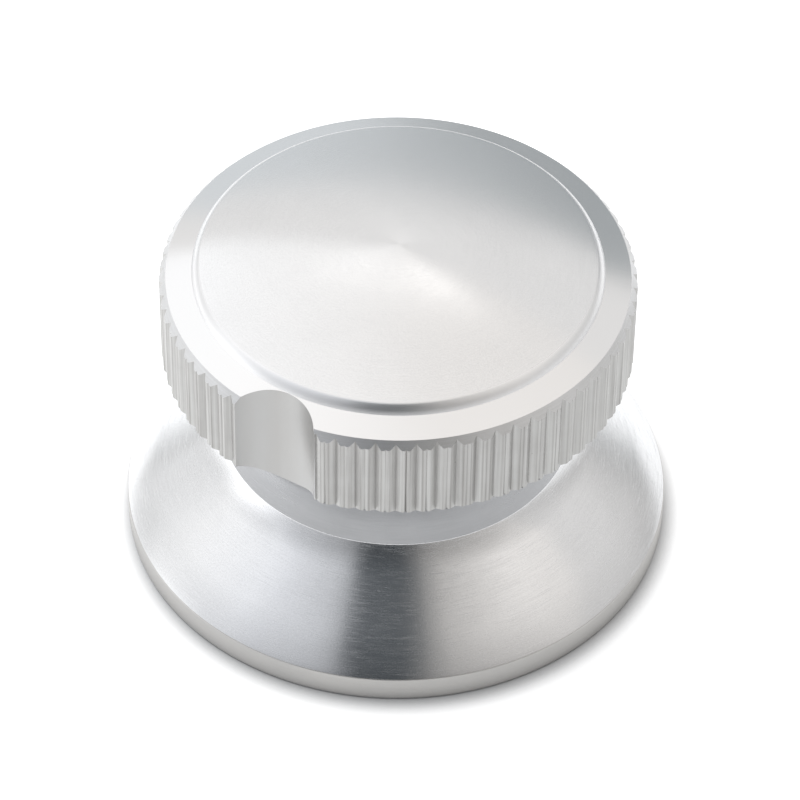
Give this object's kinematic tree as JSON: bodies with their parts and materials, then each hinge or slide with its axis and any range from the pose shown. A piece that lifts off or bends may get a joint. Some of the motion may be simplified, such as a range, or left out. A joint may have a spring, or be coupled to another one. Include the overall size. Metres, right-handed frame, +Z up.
{
  "type": "control knob",
  "caption": "Turned aluminium control knob with a knurled head, round index notch, domed stepped top and flared skirt, bored for a round shaft and held by a set screw.",
  "frame": {"origin": "centre of the skirt's foot, on the surface that the knob stands on", "axes": "+Z up the shaft axis towards the domed top, -Y towards the index notch, +Y towards the set screw"},
  "size_m": [0.028, 0.028, 0.0182],
  "materials": {
    "turned_aluminium": "bright turned, fine tool lines",
    "screw_steel": "black oxide"
  },
  "bodies": {
    "root": {"knob_body": "turned_aluminium", "set_screw": "screw_steel"}
  },
  "joints": []
}
